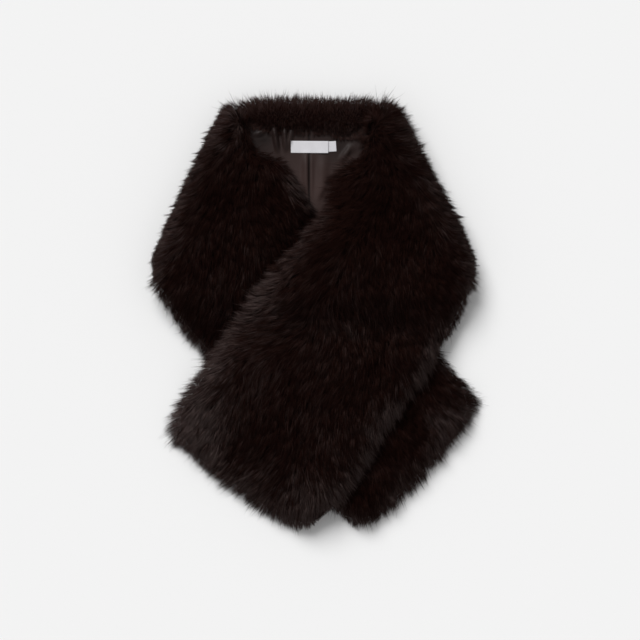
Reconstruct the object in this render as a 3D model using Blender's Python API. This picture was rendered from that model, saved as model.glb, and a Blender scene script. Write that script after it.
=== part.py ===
"""Fur collar wrap: one straight band of long-pile fur with a satin lining, laid flat on a table.

The middle of the band lies across the back, pile down and lining up, and its neck edge is turned over.
Each side turns over at a slanting fold and comes forward, pile up. The right front crosses the left one.
Units are metres. +Z is up, +Y points to the neck edge, and the table is the plane Z = 0.
"""

import math

import bmesh
import bpy
from mathutils import Vector

# The band, measured over the pile.
BACK_WIDTH = 0.190
LEFT_WIDTH = 0.195
RIGHT_WIDTH = 0.198
BACK_PILE = 0.014  # pressed flat under the fronts
NOSE_PILE = 0.017  # at the middle of a side fold
FRONT_PILE = 0.020
CROSSED_PILE = 0.015  # the left front, pressed under the right one

# Where the band lies.
CENTRE_BACK_X = -0.0064
NECK_HALF_WIDTH = 0.0789  # from the centre back seam to a side fold, along the neck edge
NECK_Y = 0.2155
LEFT_FOLD_ANGLE = math.radians(65.0)  # from the neck edge down to the fold
RIGHT_FOLD_ANGLE = math.radians(62.3)
LEFT_NECK_LENGTH = 0.421  # from the fold's neck end to the end of the front, along its neck edge
LEFT_OUTER_LENGTH = 0.4395  # and along its outer edge, where the end lies askew
RIGHT_NECK_LENGTH = 0.4225
RIGHT_OUTER_LENGTH = 0.428

# Roundness.
PILE_ROUND = 0.026  # how far in from an edge the pile reaches its full height
LINING_ROUND = 0.008
EDGE_LIFT = 0.004  # how far the widest point stands above the lining side
END_CORNER = 0.036
FOLD_INNER_RADIUS = 0.001
DROP_LENGTH = 0.055  # how far a front takes to come down off what it lies on
PRESS_LENGTH = 0.028  # how far the pressed pile of the left front takes to rise again
SMALL_OVERHANG = 0.004
NECK_SPREAD = 0.009  # pile past the neck edge at a side fold
NECK_SPREAD_FADE = 0.070
FOLD_CORNER = 0.033  # how far from the outer edge a side fold starts to round off
OUTER_SPREAD_LENGTH = 0.050  # how far a front takes from its fold to reach its full width
END_FLARE = 0.004  # pile spread out at both edges towards an end

# The neck edge of the back, turned over onto the lining.
ROLL_SPREAD = 0.0165  # pile past the neck edge at the centre back
ROLL_SPREAD_SHARE = 0.13  # of the back, at each side, where that pile dies down
ROLL_HEIGHT = 0.014  # above the lining
ROLL_DEPTH = 0.0205  # down from the neck edge
ROLL_ROUND = 0.018
ROLL_LIFT = 0.003
ROLL_START = 0.006  # from the neck edge of a front to the foot of the roll
ROLL_RISE = 0.016

# Lining and label.
SEAM_GAP = 0.0003
LAYER_GAP = 0.0009
LINING_THICKNESS = 0.001
LINING_INSET = 0.016
SEAM_PUFF = 0.0007  # the pressed seam allowance beside the centre back seam
SEAM_PUFF_WIDTH = 0.009
LABEL_THICKNESS = 0.001
LABEL_CENTRE = (-0.0058, 0.1781)
LABEL_SIZE = (0.0404, 0.0130)
LABEL_TILT = math.radians(0.8)
TAB_CENTRE = (0.0172, 0.1786)
TAB_SIZE = (0.0124, 0.0112)
TAB_TILT = math.radians(-3.0)

# Soft creases of the lining: start x and y, end x and y, height, half width.
CREASES = (
    (-0.066, 0.194, -0.043, 0.168, 0.0030, 0.0036),
    (-0.054, 0.195, -0.036, 0.164, 0.0026, 0.0032),
    (-0.044, 0.195, -0.031, 0.158, 0.0018, 0.0030),
    (0.050, 0.190, 0.025, 0.160, 0.0024, 0.0042),
    (0.036, 0.194, 0.021, 0.172, 0.0012, 0.0034),
)

# Mesh density.
ACROSS_STATIONS = 20
FOLD_STATIONS = 8
ROLL_STATIONS = 9
BEYOND_ROLL_STATIONS = 11
END_STATIONS = 6
ALONG_STEP = 0.0105
BACK_STATIONS = 24
LINING_COLUMNS = 16
LINING_ROWS = 20
WELD = 1e-6

FUR_COLOUR = (0.018, 0.009, 0.008, 1.0)
LINING_COLOUR = (0.045, 0.031, 0.029, 1.0)
LABEL_COLOUR = (0.82, 0.81, 0.82, 1.0)


def clear_scene():
    for old in list(bpy.data.objects):
        bpy.data.objects.remove(old, do_unlink=True)


def make_material(name, colour, roughness):
    material = bpy.data.materials.new(name)
    material.use_nodes = True
    shader = material.node_tree.nodes["Principled BSDF"]
    shader.inputs["Base Color"].default_value = colour
    shader.inputs["Roughness"].default_value = roughness
    shader.inputs["Metallic"].default_value = 0.0
    return material


def smooth(share):
    """0 to 1 with no slope at either end."""
    share = min(max(share, 0.0), 1.0)
    return share * share * (3.0 - 2.0 * share)


def fade(distance, length):
    """1 up to distance 0, then softly down to 0 at length."""
    return 1.0 - smooth(distance / length)


def round_over(distance, radius):
    """A quarter circle: 0 at an edge, 1 from radius inwards."""
    reach = min(max(distance / radius, 0.0), 1.0)
    return math.sqrt(1.0 - (1.0 - reach) ** 2)


def spread(low, high, count):
    """Stations from low to high, closer together near both ends."""
    middle = (low + high) / 2
    half = (high - low) / 2
    return [middle - half * math.cos(math.pi * i / count) for i in range(count + 1)]


class Front:
    """One front of the band, in plan. It runs from its side fold along `along`, and `across` points from its
    neck edge to its outer edge."""

    def __init__(self, side, fold_angle, width, neck_length, outer_length):
        turn = math.pi - 2.0 * fold_angle
        self.corner = Vector((CENTRE_BACK_X + side * NECK_HALF_WIDTH, NECK_Y))
        self.along = Vector((-side * math.cos(turn), -math.sin(turn)))
        self.across = Vector((side * math.sin(turn), -math.cos(turn)))
        self.outward = Vector((side * math.sin(fold_angle), math.cos(fold_angle)))
        self.slant = math.tan(math.pi / 2 - fold_angle)
        self.width = width
        self.neck_length = neck_length
        self.outer_length = outer_length

    def plan(self, along, across):
        return self.corner + self.along * along + self.across * across

    def fold_point(self, across):
        return self.plan(self.slant * across, across)

    def across_of(self, point):
        return (point - self.corner).dot(self.across)

    def outside(self, point):
        """How far a point lies outside the strip, less than 0 inside it."""
        across = self.across_of(point)
        return max(-across, across - self.width)


LEFT = Front(-1, LEFT_FOLD_ANGLE, LEFT_WIDTH, LEFT_NECK_LENGTH, LEFT_OUTER_LENGTH)
RIGHT = Front(1, RIGHT_FOLD_ANGLE, RIGHT_WIDTH, RIGHT_NECK_LENGTH, RIGHT_OUTER_LENGTH)
ON_BACK = BACK_PILE + 2 * FOLD_INNER_RADIUS
FOLD_AXIS_Z = BACK_PILE + FOLD_INNER_RADIUS


def over_back(point):
    """Height of the lining side of a front that lies on the back, and comes down past its outer edge."""
    past = NECK_Y - BACK_WIDTH - point.y
    return ON_BACK * fade(past + SMALL_OVERHANG, DROP_LENGTH + SMALL_OVERHANG)


def over_left(point):
    """Height that the right front gains by lying on the left front."""
    rise = CROSSED_PILE + LAYER_GAP
    return rise * fade(LEFT.outside(point) + SMALL_OVERHANG, DROP_LENGTH + SMALL_OVERHANG)


def left_level(point):
    return over_back(point)


def right_level(point):
    return over_back(point) + over_left(point)


def left_pile(point):
    return FRONT_PILE - (FRONT_PILE - CROSSED_PILE) * fade(RIGHT.outside(point), PRESS_LENGTH)


def right_pile(point):
    return FRONT_PILE


def unevenness(point):
    """Shallow hollows in the pile, as a share of its height."""
    wave = math.sin(point.x / 0.019 + 1.3 * math.sin(point.y / 0.031))
    other = math.sin(point.y / 0.023 + 1.1 * math.sin(point.x / 0.027))
    return 0.035 * (1.0 + wave * other)


def heights_across(across, low, high, from_end, pile):
    """Lining side and pile side of the band, above the surface it lies on, at one place across it."""
    inside = min(across - low, high - across)
    lining_edge = round_over(inside, LINING_ROUND) * round_over(from_end, LINING_ROUND)
    pile_edge = round_over(inside, PILE_ROUND) * round_over(from_end, PILE_ROUND)
    return EDGE_LIFT * (1.0 - lining_edge), EDGE_LIFT + (pile - EDGE_LIFT) * pile_edge


def end_inset(from_end):
    """How far each side is drawn in by the rounded corner of an end."""
    left_over = max(END_CORNER - from_end, 0.0)
    return END_CORNER - math.sqrt(END_CORNER**2 - left_over**2)


def fold_rows(front):
    """Rows round a side fold, from the end of the back up to the start of the front."""
    pile_rows = []
    lining_rows = []
    for i in range(FOLD_STATIONS + 1):
        angle = math.pi * (i / FOLD_STATIONS - 0.5)
        pile = NOSE_PILE + (FRONT_PILE - NOSE_PILE) * math.sin(angle)
        rows = ([], [])
        for across in spread(-NECK_SPREAD, BACK_WIDTH, ACROSS_STATIONS):
            heights = heights_across(across, -NECK_SPREAD, BACK_WIDTH, 1.0, pile)
            corner = smooth((BACK_WIDTH + FOLD_INNER_RADIUS - across) / FOLD_CORNER)
            for row, height in zip(rows, heights):
                radius = FOLD_INNER_RADIUS + height
                place = front.fold_point(across) + front.outward * radius * math.cos(angle) * corner
                row.append((place.x, place.y, FOLD_AXIS_Z + radius * math.sin(angle)))
        lining_rows.append(rows[0])
        pile_rows.append(rows[1])
    return pile_rows, lining_rows


def distances_from_end(length):
    """Steps along a front from just past its fold to its end, closer together where the end rounds off."""
    straight = length - END_CORNER
    steps = round(straight / ALONG_STEP)
    even = [length - straight * i / steps for i in range(1, steps + 1)]
    rounding = [
        END_CORNER * (1.0 - math.sin(math.pi / 2 * i / END_STATIONS)) for i in range(1, END_STATIONS + 1)
    ]
    return even + rounding


def front_rows(front, level, pile_at):
    """Rows along a front, from its fold to its end."""
    length = (front.neck_length + front.outer_length - front.slant * front.width) / 2
    pile_rows = []
    lining_rows = []
    for from_end in distances_from_end(length):
        share = 1.0 - from_end / length
        inset = end_inset(from_end)
        past_fold = length - from_end
        flare = END_FLARE * smooth(2.0 * share - 1.0)
        low = inset - flare - NECK_SPREAD * fade(past_fold, NECK_SPREAD_FADE)
        tuck = (front.width - BACK_WIDTH) * fade(past_fold, OUTER_SPREAD_LENGTH)
        high = front.width - inset + flare - tuck
        pile_row = []
        lining_row = []
        for across in spread(low, high, ACROSS_STATIONS):
            start = front.slant * across
            skew = (front.outer_length - front.neck_length) * across / front.width
            along = start + (front.neck_length + skew - start) * share
            place = front.plan(along, across)
            pile = pile_at(place) * (1.0 - unevenness(place) * smooth(share * 6.0))
            lining, top = heights_across(across, low, high, from_end, pile)
            pile_row.append((place.x, place.y, level(place) + top))
            lining_row.append((place.x, place.y, level(place) + lining))
        pile_rows.append(pile_row)
        lining_rows.append(lining_row)
    return pile_rows, lining_rows


def between_fronts(point):
    """1 where the back neck shows between the fronts, softly down to 0 at their neck edges."""
    left = smooth((-LEFT.across_of(point) - ROLL_START) / ROLL_RISE)
    right = smooth((-RIGHT.across_of(point) - ROLL_START) / ROLL_RISE)
    return left * right


def roll_height(point):
    """Height of the turned-over neck edge above the lining bed."""
    down = NECK_Y - point.y
    return ROLL_HEIGHT * fade(down, ROLL_DEPTH) * between_fronts(point)


def back_stations(low):
    """Stations across the back: close together over the turned-over neck edge, and where the outer edge rounds."""
    over_roll = spread(low, ROLL_DEPTH, ROLL_STATIONS)
    beyond = BACK_WIDTH - ROLL_DEPTH
    steps = range(1, BEYOND_ROLL_STATIONS + 1)
    return over_roll + [ROLL_DEPTH + beyond * math.sin(math.pi / 2 * i / steps[-1]) for i in steps]


def back_rows():
    """Rows of the back from its left fold to its right fold."""
    pile_rows = []
    lining_rows = []
    for i in range(BACK_STATIONS + 1):
        share = i / BACK_STATIONS
        middle = smooth(min(share, 1.0 - share) / ROLL_SPREAD_SHARE)
        low = -NECK_SPREAD - (ROLL_SPREAD - NECK_SPREAD) * middle
        pile_row = []
        lining_row = []
        for across in back_stations(low):
            left = LEFT.fold_point(across) - LEFT.outward * SEAM_GAP
            right = RIGHT.fold_point(across) - RIGHT.outward * SEAM_GAP
            place = left.lerp(right, share)
            place.y = NECK_Y - across
            from_neck = across - low
            near_roll = middle * fade(from_neck, 2 * ROLL_DEPTH)
            widest = BACK_PILE - EDGE_LIFT + ROLL_LIFT * near_roll
            rounding = LINING_ROUND + (ROLL_ROUND - LINING_ROUND) * near_roll
            inside = min(from_neck, BACK_WIDTH - across)
            bed = BACK_PILE + roll_height(place)
            lining_row.append((place.x, place.y, widest + (bed - widest) * round_over(inside, rounding)))
            pile_row.append((place.x, place.y, widest * (1.0 - round_over(inside, PILE_ROUND))))
        pile_rows.append(pile_row)
        lining_rows.append(lining_row)
    return lining_rows, pile_rows


def crease_height(point, row):
    """Height of one soft crease at a point: a rounded ridge that starts and dies out softly."""
    start_x, start_y, end_x, end_y, height, half_width = row
    start = Vector((start_x, start_y))
    run = Vector((end_x, end_y)) - start
    share = (point - start).dot(run) / run.length_squared
    away = (point - start - run * share).length
    swell = smooth((share + 0.35) / 0.5) * fade(share - 0.45, 0.75)
    return height * swell * fade(away, 2 * half_width)


def lining_level(point):
    """Underside of the lining: on its bed, raised by its creases between the fronts and by its seam allowance."""
    creases = sum(crease_height(point, row) for row in CREASES)
    beside_front = min(-LEFT.across_of(point), -RIGHT.across_of(point))
    seam = SEAM_PUFF * fade(abs(point.x - CENTRE_BACK_X), SEAM_PUFF_WIDTH) * smooth(beside_front / 0.02)
    return BACK_PILE + SEAM_GAP + creases * smooth(beside_front / 0.006) + seam


def lining_half(front):
    """One half of the back lining, from the centre back seam to its side fold."""
    side = 1 if front is RIGHT else -1
    top = []
    bottom = []
    for i in range(LINING_ROWS + 1):
        across = ROLL_DEPTH + 0.0005 + (BACK_WIDTH - LINING_INSET - ROLL_DEPTH) * (i / LINING_ROWS) ** 1.35
        fold = front.fold_point(across).x - side * 2 * FOLD_INNER_RADIUS
        seam = CENTRE_BACK_X + side * SEAM_GAP / 2
        low_row = []
        for j in range(LINING_COLUMNS + 1):
            x = seam + (fold - seam) * (j / LINING_COLUMNS) ** 1.25
            place = Vector((x, NECK_Y - across))
            low_row.append((place.x, place.y, lining_level(place)))
        bottom.append(low_row)
        top.append([(x, y, z + LINING_THICKNESS) for x, y, z in low_row])
    return top, bottom


def patch(centre, size, tilt, lift):
    """A small woven patch that follows the lining; lift(share) raises it along its length, share 0 to 1."""
    columns = 12
    rows = 4
    top = []
    bottom = []
    for i in range(rows + 1):
        low_row = []
        for j in range(columns + 1):
            share = j / columns
            along = size[0] * (share - 0.5)
            up = size[1] * (i / rows - 0.5)
            x = centre[0] + along * math.cos(tilt) - up * math.sin(tilt)
            y = centre[1] + along * math.sin(tilt) + up * math.cos(tilt)
            rest = lining_level(Vector((x, y))) + LINING_THICKNESS + SEAM_GAP
            low_row.append((x, y, rest + lift(share)))
        bottom.append(low_row)
        top.append([(x, y, z + LABEL_THICKNESS) for x, y, z in low_row])
    return top, bottom


def over_tab(share):
    """The right end of the label lies over the size tab."""
    return (LABEL_THICKNESS + SEAM_GAP) * smooth((share - 0.55) / 0.3)


def flat(share):
    return 0.0


def rim(rows):
    """The points round a grid of rows, in order."""
    last = len(rows) - 1
    side = [row[-1] for row in rows[1:last]]
    other = [row[0] for row in rows[1:last]]
    return rows[0] + side + rows[last][::-1] + other[::-1]


def closed_cloth(name, top, bottom, material):
    """One closed body between two grids of points, which may meet along their rims."""
    shape = bmesh.new()
    rims = []
    for rows in (top, bottom):
        grid = [[shape.verts.new(point) for point in row] for row in rows]
        for near, far in zip(grid, grid[1:]):
            for j in range(len(near) - 1):
                shape.faces.new((near[j], near[j + 1], far[j + 1], far[j]))
        rims.append(rim(grid))
    upper, lower = rims
    for i in range(len(upper)):
        after = (i + 1) % len(upper)
        shape.faces.new((upper[i], upper[after], lower[after], lower[i]))
    bmesh.ops.remove_doubles(shape, verts=shape.verts, dist=WELD)
    bmesh.ops.recalc_face_normals(shape, faces=shape.faces)
    mesh = bpy.data.meshes.new(name)
    shape.to_mesh(mesh)
    shape.free()
    mesh.shade_smooth()
    mesh.set_sharp_from_angle(angle=math.radians(50))
    mesh.materials.append(material)
    piece = bpy.data.objects.new(name, mesh)
    bpy.context.scene.collection.objects.link(piece)
    return piece


def make_front(name, front, level, pile_at, material):
    fold_pile, fold_lining = fold_rows(front)
    pile, lining = front_rows(front, level, pile_at)
    return closed_cloth(name, fold_pile + pile, fold_lining + lining, material)


def stand_on_origin(pieces):
    """Moves the wrap so that the middle of its outline, seen from above, is at X = Y = 0."""
    points = [vertex.co for piece in pieces for vertex in piece.data.vertices]
    middle = [(min(values) + max(values)) / 2 for values in zip(*points)]
    for piece in pieces:
        for vertex in piece.data.vertices:
            vertex.co.x -= middle[0]
            vertex.co.y -= middle[1]


def main():
    clear_scene()
    fur = make_material("fur", FUR_COLOUR, 0.6)
    lining = make_material("lining", LINING_COLOUR, 0.45)
    label = make_material("label", LABEL_COLOUR, 0.7)
    stand_on_origin(
        [
            closed_cloth("fur_back", *back_rows(), fur),
            make_front("fur_front_left", LEFT, left_level, left_pile, fur),
            make_front("fur_front_right", RIGHT, right_level, right_pile, fur),
            closed_cloth("lining_left", *lining_half(LEFT), lining),
            closed_cloth("lining_right", *lining_half(RIGHT), lining),
            closed_cloth("neck_label", *patch(LABEL_CENTRE, LABEL_SIZE, LABEL_TILT, over_tab), label),
            closed_cloth("size_tab", *patch(TAB_CENTRE, TAB_SIZE, TAB_TILT, flat), label),
        ]
    )


main()
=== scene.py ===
import math

import bpy
import numpy as np
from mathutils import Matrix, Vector
from mathutils.kdtree import KDTree


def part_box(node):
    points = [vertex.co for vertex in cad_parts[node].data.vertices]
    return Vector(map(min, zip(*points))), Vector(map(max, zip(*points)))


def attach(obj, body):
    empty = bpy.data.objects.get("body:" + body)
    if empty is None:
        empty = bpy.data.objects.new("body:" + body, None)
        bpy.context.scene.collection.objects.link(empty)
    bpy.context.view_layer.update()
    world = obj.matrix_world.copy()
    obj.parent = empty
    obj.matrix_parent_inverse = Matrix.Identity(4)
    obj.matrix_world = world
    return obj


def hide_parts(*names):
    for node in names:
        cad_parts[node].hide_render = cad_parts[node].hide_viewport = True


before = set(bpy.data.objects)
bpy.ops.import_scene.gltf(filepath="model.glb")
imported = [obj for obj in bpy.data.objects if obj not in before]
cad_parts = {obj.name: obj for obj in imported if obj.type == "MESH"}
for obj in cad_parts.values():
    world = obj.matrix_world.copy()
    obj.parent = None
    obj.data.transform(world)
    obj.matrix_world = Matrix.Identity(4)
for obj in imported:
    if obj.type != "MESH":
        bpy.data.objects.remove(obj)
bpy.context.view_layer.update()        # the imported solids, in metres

print("frame is in")

# The band as it lies, in metres, the same sizes as the solids have.
band = {
    "backWidth": 0.19,
    "neckHalfWidth": 0.0789,
    "backPile": 0.014,
    "nosePile": 0.017,
    "frontPile": 0.02,
    "crossedPile": 0.015,
    "pileRound": 0.026,
    "liningRound": 0.008,
    "edgeLift": 0.004,
    "endCorner": 0.036,
    "foldInner": 0.001,
    "foldCorner": 0.033,
    "dropLength": 0.055,
    "pressLength": 0.028,
    "overhang": 0.004,
    "layerGap": 0.0009,
    "hollowDepth": 0.035,  # share of the pile's height
    "neckSpread": 0.009,
    "neckSpreadFade": 0.07,
    "outerSpreadLength": 0.05,
    "endFlare": 0.004,
    "seamGap": 0.0003,
}

# The neck edge of the back, turned over onto the lining.
roll = {
    "spread": 0.0165,
    "spreadShare": 0.13,
    "height": 0.014,
    "depth": 0.0205,
    "round": 0.018,
    "lift": 0.003,
    "start": 0.006,
    "rise": 0.016,
    # how much further it comes down over the lining, from left to right
    "lower": (
        (-0.06, 0.0025), (-0.035, 0.0046), (0.0, 0.0055), (0.022, 0.0065), (0.032, 0.013), (0.05, 0.016),
    ),
}

# The cloth with its dense underfur, inside the reach of the long hairs.
underfur = {
    "fill": 0.7,  # of the pile's height
    "fillBelow": 0.97,  # where the pile is pressed on the table
    "inset": 0.007,  # in from where the tips reach
    "backInset": 0.0066,
    "liningLift": 0.0013,  # room for the lining under a front
    "rollDrop": 1.2,  # how much more of the pile's height it leaves in the roll
    # how far the neck edges are drawn back from the lining, by the distance past the fold
    "leftNeck": (
        (0.0, 0.0), (0.018, 0.005), (0.027, 0.011), (0.035, 0.011), (0.043, 0.006), (0.05, 0.003),
        (0.057, -0.001), (0.064, -0.007), (0.072, -0.007), (0.085, -0.005), (0.096, -0.002), (0.108, 0.001),
        (0.119, 0.005), (0.128, 0.006), (0.145, 0.002), (0.165, 0.0),
    ),
    "rightNeck": (
        (0.0, 0.0), (0.016, -0.003), (0.026, 0.003), (0.034, 0.009), (0.041, 0.01), (0.048, 0.006),
        (0.056, 0.0), (0.063, -0.005), (0.073, -0.004), (0.081, 0.002), (0.089, 0.008), (0.098, 0.011),
        (0.108, 0.011), (0.12, 0.008), (0.135, 0.007), (0.16, 0.003), (0.19, 0.0),
    ),
}

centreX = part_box("lining_left")[1].x + band["seamGap"] / 2
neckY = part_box("fur_back")[0].y + band["backWidth"]
onBack = band["backPile"] + 2 * band["foldInner"]
foldAxisZ = band["backPile"] + band["foldInner"]


def smoothStep(x):
    x = np.clip(x, 0.0, 1.0)
    return x * x * (3.0 - 2.0 * x)


def fadeOut(distance, length):
    return 1.0 - smoothStep(distance / length)


def roundOver(distance, radius):
    reach = np.clip(distance / radius, 0.0, 1.0)
    return np.sqrt(1.0 - (1.0 - reach) ** 2)


def unit(vectors):
    return vectors / np.maximum(np.linalg.norm(vectors, axis=-1, keepdims=True), 1e-9)


def makeFront(side, foldDegrees, width, neckLength, outerLength):
    fold = math.radians(foldDegrees)
    turn = math.pi - 2 * fold
    return {
        "side": side,
        "corner": np.array([centreX + side * band["neckHalfWidth"], neckY]),
        "along": np.array([-side * math.cos(turn), -math.sin(turn)]),
        "across": np.array([side * math.sin(turn), -math.cos(turn)]),
        "outward": np.array([side * math.sin(fold), math.cos(fold)]),
        "slant": 1 / math.tan(fold),
        "width": width,
        "neckLength": neckLength,
        "outerLength": outerLength,
    }


leftFront = makeFront(-1, 65.0, 0.195, 0.421, 0.4395)
rightFront = makeFront(1, 62.3, 0.198, 0.4225, 0.428)


def planPoint(front, along, across):
    return front["corner"] + along[:, None] * front["along"] + across[:, None] * front["across"]


def acrossOf(front, plan):
    return (plan - front["corner"]) @ front["across"]


def outsideOf(front, plan):
    across = acrossOf(front, plan)
    return np.maximum(-across, across - front["width"])


# What the upper layer does past the edge of the one below it.
def dropOff(past):
    return fadeOut(past + band["overhang"], band["dropLength"] + band["overhang"])


def overBack(plan):
    return onBack * dropOff(neckY - band["backWidth"] - plan[:, 1])


def overLeft(plan):
    return (band["crossedPile"] + band["layerGap"]) * dropOff(outsideOf(leftFront, plan))


def levelOf(front, plan):
    return overBack(plan) + (overLeft(plan) if front is rightFront else 0.0)


def pileOf(front, plan):
    if front is rightFront:
        return np.full(len(plan), band["frontPile"])
    pressed = fadeOut(outsideOf(rightFront, plan), band["pressLength"])
    return band["frontPile"] - (band["frontPile"] - band["crossedPile"]) * pressed


def hollows(plan):
    x, y = plan[:, 0], plan[:, 1]
    wave = np.sin(x / 0.019 + 1.3 * np.sin(y / 0.031))
    other = np.sin(y / 0.023 + 1.1 * np.sin(x / 0.027))
    return band["hollowDepth"] * (1.0 + wave * other)


def clothHeights(across, low, high, fromEnd, pile, fill, liningLift):
    inside = np.minimum(across - low, high - across)
    liningEdge = roundOver(inside, band["liningRound"]) * roundOver(fromEnd, band["liningRound"])
    pileEdge = roundOver(inside, band["pileRound"]) * roundOver(fromEnd, band["pileRound"])
    rim = band["edgeLift"]
    return liningLift + (rim - liningLift) * (1.0 - liningEdge), rim + (pile * fill - rim) * pileEdge


# A front of the band: s runs from -1, under its side fold, over 0 to 1 at its end, and t from its neck edge
# outwards. It gives the points of both sides, lining first, and how far they are from the edges.
def frontSkin(front, s, t, inset=0.0, fill=1.0, fillBelow=1.0, liningLift=0.0, neck=((0.0, 0.0),)):
    inFold = s < 0
    share = np.clip(s, 0.0, 1.0)
    length = (front["neckLength"] + front["outerLength"] - front["slant"] * front["width"]) / 2 - inset
    fromEnd = length * (1.0 - share)
    pastFold = length * share
    left = np.maximum(band["endCorner"] - fromEnd, 0.0)
    drawnIn = band["endCorner"] - np.sqrt(band["endCorner"] ** 2 - left**2)
    flare = band["endFlare"] * smoothStep(2.0 * share - 1.0)
    bare = np.interp(pastFold, *zip(*neck))
    low = inset + bare + drawnIn - flare - band["neckSpread"] * fadeOut(pastFold, band["neckSpreadFade"])
    tuck = (front["width"] - band["backWidth"]) * fadeOut(pastFold, band["outerSpreadLength"])
    high = front["width"] - inset - drawnIn + flare - tuck
    across = low + (high - low) * t
    start = front["slant"] * across
    skew = (front["outerLength"] - front["neckLength"]) * across / front["width"]
    along = start + (front["neckLength"] + skew - inset - start) * share
    plan = planPoint(front, along, across)
    pile = pileOf(front, plan) * (1.0 - hollows(plan) * smoothStep(share * 6.0))
    lining, top = clothHeights(across, low, high, fromEnd, pile, fill, liningLift)
    level = levelOf(front, plan)
    points = [np.column_stack([plan, level + lining]), np.column_stack([plan, level + top])]

    angle = math.pi * (np.clip(s, -1.0, 0.0) + 0.5)
    nose = band["nosePile"] + (band["frontPile"] - band["nosePile"]) * np.sin(angle)
    foldFill = fillBelow + (fill - fillBelow) * smoothStep((s + 1.0) * 2.5)
    farFromEnd = np.full(len(s), 1.0)
    heights = clothHeights(across, low, high, farFromEnd, nose, foldFill, liningLift)
    corner = smoothStep((band["backWidth"] + band["foldInner"] - across) / band["foldCorner"])
    foldPlan = planPoint(front, start, across)
    for side, height in zip(points, heights):
        radius = band["foldInner"] + height
        reach = (radius * np.cos(angle) * corner)[:, None] * front["outward"]
        bent = np.column_stack([foldPlan + reach, foldAxisZ + radius * np.sin(angle)])
        side[inFold] = bent[inFold]
    edges = {"neck": across - low, "outer": high - across, "end": fromEnd, "fold": pastFold}
    return points[0], points[1], edges


def betweenFronts(plan):
    left = smoothStep((-acrossOf(leftFront, plan) - roll["start"]) / roll["rise"])
    right = smoothStep((-acrossOf(rightFront, plan) - roll["start"]) / roll["rise"])
    return left * right


def rollDepth(plan):
    return roll["depth"] + np.interp(plan[:, 0] - centreX, *zip(*roll["lower"]))


# The back of the band, pile down: s runs from its left fold to its right one, and t as above.
def backSkin(s, t, inset=0.0, fill=1.0, fillBelow=1.0):
    share = (s + 1.0) / 2.0
    middle = smoothStep(np.minimum(share, 1.0 - share) / roll["spreadShare"])
    low = inset - band["neckSpread"] - (roll["spread"] - band["neckSpread"]) * middle
    high = band["backWidth"] - inset
    across = low + (high - low) * t
    ends = []
    for front in (leftFront, rightFront):
        ends.append(planPoint(front, front["slant"] * across, across) - front["outward"] * band["seamGap"])
    plan = ends[0] + (ends[1] - ends[0]) * share[:, None]
    plan[:, 1] = neckY - across
    fromNeck = across - low
    nearRoll = middle * fadeOut(fromNeck, 2 * roll["depth"])
    widest = band["backPile"] - band["edgeLift"] + roll["lift"] * nearRoll
    rounding = band["liningRound"] + (roll["round"] - band["liningRound"]) * nearRoll
    inside = np.minimum(fromNeck, high - across)
    rise = roll["height"] * fadeOut(neckY - plan[:, 1], rollDepth(plan)) * betweenFronts(plan)
    bed = band["backPile"] + rise * (1.0 - underfur["rollDrop"] * (1.0 - fill))
    lining = widest + (bed - widest) * roundOver(inside, rounding)
    below = widest * (1.0 - roundOver(inside, band["pileRound"])) + band["backPile"] * (1.0 - fillBelow)
    return np.column_stack([plan, lining]), np.column_stack([plan, np.minimum(below, widest)])


class Wire:
    # A shader socket that takes part in plain sums.
    def __init__(self, board, socket):
        self.board = board
        self.socket = socket

    def maths(self, operation, *others):
        node = self.board.tree.nodes.new("ShaderNodeMath")
        node.operation = operation
        for place, value in zip(node.inputs, (self, *others)):
            self.board.join(value, place)
        return Wire(self.board, node.outputs[0])

    def __add__(self, other):
        return self.maths("ADD", other)

    __radd__ = __add__

    def __sub__(self, other):
        return self.maths("SUBTRACT", other)

    def __rsub__(self, other):
        return (self * -1.0) + other

    def __mul__(self, other):
        return self.maths("MULTIPLY", other)

    __rmul__ = __mul__

    def clamped(self):
        return self.maths("MAXIMUM", 0.0).maths("MINIMUM", 1.0)

    def neighbour(self, number):
        return Wire(self.board, self.socket.node.outputs[number])


class Board:
    # The nodes of one material.
    def __init__(self, name):
        self.material = bpy.data.materials.new(name)
        self.material.use_nodes = True
        self.tree = self.material.node_tree
        self.shader = self.tree.nodes["Principled BSDF"]

    def join(self, value, place):
        if isinstance(value, Wire):
            self.tree.links.new(value.socket, place)
        else:
            place.default_value = value

    def node(self, kind, settings=None, inputs=None, output=0):
        node = self.tree.nodes.new(kind)
        for name, value in (settings or {}).items():
            if name == "stops":
                ramp = node.color_ramp
                while len(ramp.elements) < len(value):
                    ramp.elements.new(1.0)
                for element, (place, colour) in zip(ramp.elements, value):
                    element.position = place
                    element.color = colour
            else:
                setattr(node, name, value)
        for name, value in (inputs or {}).items():
            self.join(value, node.inputs[name])
        return Wire(self, node.outputs[output])

    def mix(self, factor, first, second, blend="MIX"):
        node = self.tree.nodes.new("ShaderNodeMix")
        node.data_type = "RGBA"
        node.blend_type = blend
        self.join(factor, node.inputs[0])
        self.join(first, node.inputs[6])
        self.join(second, node.inputs[7])
        return Wire(self, node.outputs[2])

    def place(self, scale=(1.0, 1.0, 1.0), turn=(0.0, 0.0, 0.0)):
        coordinates = self.node("ShaderNodeTexCoord", output="Object")
        return self.node("ShaderNodeMapping", {}, {"Vector": coordinates, "Scale": scale, "Rotation": turn})

    def finish(self, **sockets):
        for name, value in sockets.items():
            self.join(value, self.shader.inputs[name.replace("_", " ")])
        return self.material


def grey(value):
    return (value, value, value, 1.0)


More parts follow.
